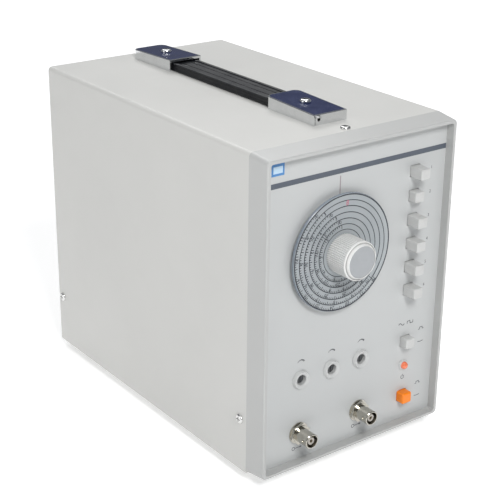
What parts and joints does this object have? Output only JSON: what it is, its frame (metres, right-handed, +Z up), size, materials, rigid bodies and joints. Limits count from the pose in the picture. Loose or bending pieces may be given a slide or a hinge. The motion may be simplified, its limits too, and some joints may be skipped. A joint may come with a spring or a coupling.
{
  "type": "bench signal generator",
  "caption": "Portrait bench signal generator with a round tuning dial, push buttons, coaxial sockets and a strap handle on top.",
  "frame": {"origin": "on the bench, under the centre of the overall box", "axes": "+Z up, the control panel faces -Y, +X to the operator's right"},
  "size_m": [0.153, 0.282, 0.2254],
  "materials": {
    "case_paint": "satin, fine texture",
    "bezel_paint": "satin",
    "panel_paint": "satin",
    "zinc_steel": "zinc plated",
    "chrome": "polished",
    "navy_gloss": "gloss",
    "black_rubber": "satin",
    "black_plastic": "matt",
    "dial_plastic": "clear, tinted",
    "white_plastic": "satin",
    "grey_plastic": "satin",
    "orange_plastic": "satin",
    "lamp_red": "gloss, lit",
    "brass": "plain",
    "nickel": "nickel plated",
    "aluminium": "plain",
    "board_green": "satin",
    "core_steel": "varnished laminations"
  },
  "bodies": {
    "chassis": {"top_cover": "case_paint", "base_tray": "case_paint", "front_bezel": "bezel_paint", "front_panel": "panel_paint", "rear_panel": "case_paint", "cover_screws": "chrome", "inlet_screws": "chrome", "rear_screws": "chrome", "rubber_feet": "black_rubber", "foot_screws": "zinc_steel", "handle_cap_front": "chrome", "handle_cap_rear": "chrome", "handle_inlay_front": "navy_gloss", "handle_inlay_rear": "navy_gloss", "handle_screws": "chrome", "handle_nut_plates": "zinc_steel", "dial_bushing": "nickel", "capacitor_posts": "brass", "capacitor_frame": "aluminium", "capacitor_stator": "aluminium", "range_switch_bank": "grey_plastic", "mode_switch": "grey_plastic", "power_switch": "grey_plastic", "led_holder": "grey_plastic", "power_led": "lamp_red", "adjuster_pots": "aluminium", "output_socket_shell": "nickel", "modulation_socket_shell": "nickel", "socket_washers": "nickel", "socket_nuts": "nickel", "socket_inserts": "white_plastic", "socket_contacts": "brass", "board_standoffs": "brass", "main_board": "board_green", "shield_can": "aluminium", "transformer": "core_steel", "inlet_socket": "black_plastic", "inlet_pins": "nickel", "fuse_holder": "black_plastic", "adjuster_ring_left": "grey_plastic", "adjuster_ring_middle": "grey_plastic", "adjuster_ring_right": "grey_plastic"},
    "tuning": {"tuning_knob": "white_plastic", "knob_cap": "grey_plastic", "frequency_dial": "dial_plastic", "tuning_shaft": "brass", "capacitor_rotor": "aluminium"},
    "mode": {"mode_button": "white_plastic"},
    "power": {"power_button": "orange_plastic"},
    "strap": {"handle_strap": "black_rubber"},
    "fuse": {"fuse_cap": "black_plastic"},
    "range_1": {"range_button_1": "white_plastic"},
    "range_2": {"range_button_2": "white_plastic"},
    "range_3": {"range_button_3": "white_plastic"},
    "range_4": {"range_button_4": "white_plastic"},
    "range_5": {"range_button_5": "white_plastic"},
    "range_6": {"range_button_6": "white_plastic"},
    "adjuster_left": {"adjuster_shaft_left": "nickel"},
    "adjuster_middle": {"adjuster_shaft_middle": "nickel"},
    "adjuster_right": {"adjuster_shaft_right": "nickel"}
  },
  "joints": [
    {"name": "tuning_turn", "type": "hinge", "parent": "chassis", "child": "tuning", "pos_m": [-0.0152, -0.124, 0.1457], "axis": [0, -1, 0], "range_deg": [-90, 90]},
    {"name": "range_1_press", "type": "slide", "parent": "chassis", "child": "range_1", "axis": [0, 1, 0], "range_m": [0, 0.004], "stiffness_N_per_m": 300},
    {"name": "range_2_press", "type": "slide", "parent": "chassis", "child": "range_2", "axis": [0, 1, 0], "range_m": [-0.004, 0]},
    {"name": "range_3_press", "type": "slide", "parent": "chassis", "child": "range_3", "axis": [0, 1, 0], "range_m": [0, 0.004], "stiffness_N_per_m": 300},
    {"name": "range_4_press", "type": "slide", "parent": "chassis", "child": "range_4", "axis": [0, 1, 0], "range_m": [0, 0.004], "stiffness_N_per_m": 300},
    {"name": "range_5_press", "type": "slide", "parent": "chassis", "child": "range_5", "axis": [0, 1, 0], "range_m": [0, 0.004], "stiffness_N_per_m": 300},
    {"name": "range_6_press", "type": "slide", "parent": "chassis", "child": "range_6", "axis": [0, 1, 0], "range_m": [0, 0.004], "stiffness_N_per_m": 300},
    {"name": "mode_press", "type": "slide", "parent": "chassis", "child": "mode", "axis": [0, 1, 0], "range_m": [-0.004, 0]},
    {"name": "power_press", "type": "slide", "parent": "chassis", "child": "power", "axis": [0, 1, 0], "range_m": [-0.004, 0]},
    {"name": "adjuster_left_turn", "type": "hinge", "parent": "chassis", "child": "adjuster_left", "pos_m": [-0.041, -0.118, 0.0658], "axis": [0, -1, 0], "range_deg": [-150, 150]},
    {"name": "adjuster_middle_turn", "type": "hinge", "parent": "chassis", "child": "adjuster_middle", "pos_m": [-0.0166, -0.118, 0.0658], "axis": [0, -1, 0], "range_deg": [-150, 150]},
    {"name": "adjuster_right_turn", "type": "hinge", "parent": "chassis", "child": "adjuster_right", "pos_m": [0.0076, -0.118, 0.0658], "axis": [0, -1, 0], "range_deg": [-150, 150]},
    {"name": "strap_lift", "type": "slide", "parent": "chassis", "child": "strap", "axis": [0, 0, 1], "range_m": [0, 0.0004]},
    {"name": "fuse_cap_turn", "type": "hinge", "parent": "chassis", "child": "fuse", "pos_m": [0.007, 0.129, 0.051], "axis": [0, 1, 0], "range_deg": [0, 60]}
  ]
}
